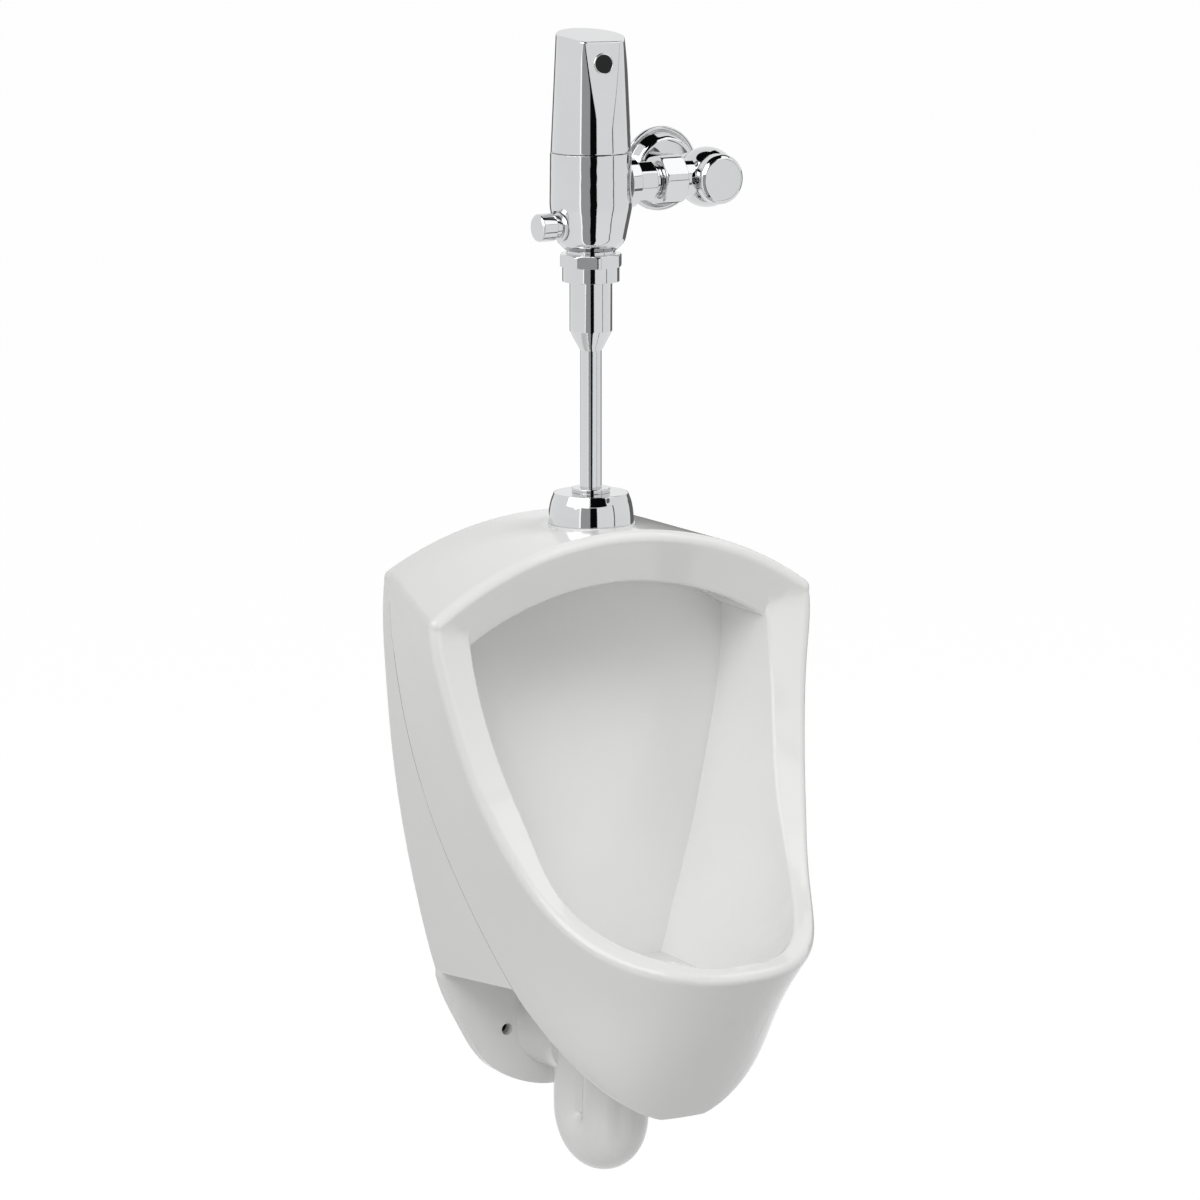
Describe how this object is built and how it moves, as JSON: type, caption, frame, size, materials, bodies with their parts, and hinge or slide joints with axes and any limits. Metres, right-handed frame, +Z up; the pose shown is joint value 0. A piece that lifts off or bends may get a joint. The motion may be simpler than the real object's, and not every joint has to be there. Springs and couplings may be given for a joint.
{
  "type": "wall-hung urinal with sensor flush valve",
  "caption": "Wall-hung white china urinal with a flared shield-shaped bowl, and a chrome sensor flush valve with a stop above it.",
  "frame": {"origin": "centre of the drain outlet where it meets the wall", "axes": "+Y into the wall along the outlet, +Z up, +X to the right seen from the front"},
  "size_m": [0.3942, 0.3552, 1.0351],
  "materials": {
    "vitreous_china": "glossy white glaze",
    "polished_chrome": "polished chrome plate",
    "cast_brass": "machined brass",
    "black_rubber": "matte black rubber",
    "stainless_steel": "satin stainless steel",
    "zinc_steel": "zinc-plated pressed steel",
    "moulded_plastic": "moulded dark plastic",
    "black_lens": "black infrared lens",
    "green_board": "green solder mask",
    "battery_wrap": "plain printed can"
  },
  "bodies": {
    "fixture": {"china_body": "vitreous_china", "wall_hangers": "zinc_steel", "drain_strainer": "stainless_steel", "outlet_gasket": "black_rubber", "spud_gasket": "black_rubber", "inlet_spud": "cast_brass", "spud_locknut": "cast_brass", "spud_coupling_nut": "polished_chrome", "slip_gasket": "black_rubber", "friction_ring": "moulded_plastic", "spud_escutcheon": "polished_chrome", "tube_collar": "polished_chrome", "flush_tube": "polished_chrome", "breaker_cage": "moulded_plastic", "breaker_sleeve": "black_rubber", "outlet_washer": "black_rubber", "outlet_coupling_nut": "polished_chrome", "valve_body": "polished_chrome", "inner_cap": "moulded_plastic", "cap_oring": "black_rubber", "solenoid_body": "moulded_plastic", "solenoid_spring": "stainless_steel", "valve_cover": "polished_chrome", "sensor_lens": "black_lens", "cover_screw": "stainless_steel", "sensor_module": "moulded_plastic", "control_board": "green_board", "battery_holder": "moulded_plastic", "battery_cells": "battery_wrap", "button_bushing": "polished_chrome", "button_spring": "stainless_steel", "button_seal": "black_rubber", "tailpiece": "polished_chrome", "stop_coupling_nut": "polished_chrome", "stop_oring": "black_rubber", "stop_body": "polished_chrome", "stop_screw": "stainless_steel", "stop_bonnet": "cast_brass", "stem_oring": "black_rubber", "stop_cap": "polished_chrome", "supply_adapter": "cast_brass", "cover_tube": "polished_chrome", "wall_flange": "polished_chrome"},
    "button": {"button_cap": "polished_chrome", "button_stem": "cast_brass"},
    "piston": {"piston": "moulded_plastic", "piston_seal": "black_rubber"},
    "relief_valve": {"relief_stem": "cast_brass"},
    "plunger": {"solenoid_plunger": "stainless_steel"},
    "stop_closure": {"stop_disc": "cast_brass", "stop_washer": "black_rubber"},
    "stop_screw_stem": {"stop_stem": "cast_brass"}
  },
  "joints": [
    {"name": "button_press", "type": "slide", "parent": "fixture", "child": "button", "axis": [1, 0, 0], "range_m": [0, 0.006], "stiffness_N_per_m": 800, "springref_m": -0.004, "deforming": ["button_spring"]},
    {"name": "piston_lift", "type": "slide", "parent": "fixture", "child": "piston", "axis": [0, 0, 1], "range_m": [0, 0.008]},
    {"name": "relief_tilt", "type": "hinge", "parent": "piston", "child": "relief_valve", "pos_m": [-0.0115, -0.083, 0.769], "axis": [0, -1, 0], "range_deg": [0, 14.4]},
    {"name": "plunger_lift", "type": "slide", "parent": "fixture", "child": "plunger", "axis": [0, 0, 1], "range_m": [0, 0.002], "stiffness_N_per_m": 400, "springref_m": -0.003, "deforming": ["solenoid_spring"]},
    {"name": "stop_travel", "type": "slide", "parent": "fixture", "child": "stop_closure", "axis": [0, 1, 0], "range_m": [0, 0.006]},
    {"name": "stop_turn", "type": "hinge", "parent": "stop_closure", "child": "stop_screw_stem", "pos_m": [0.12065, -0.1, 0.782], "axis": [0, 1, 0], "range_deg": [0, 1441]}
  ],
  "couplings": [
    {"joint": "relief_tilt", "follows": "button_press", "rad_per_m": 41.667},
    {"joint": "stop_turn", "follows": "stop_travel", "rad_per_m": 4188.8}
  ]
}
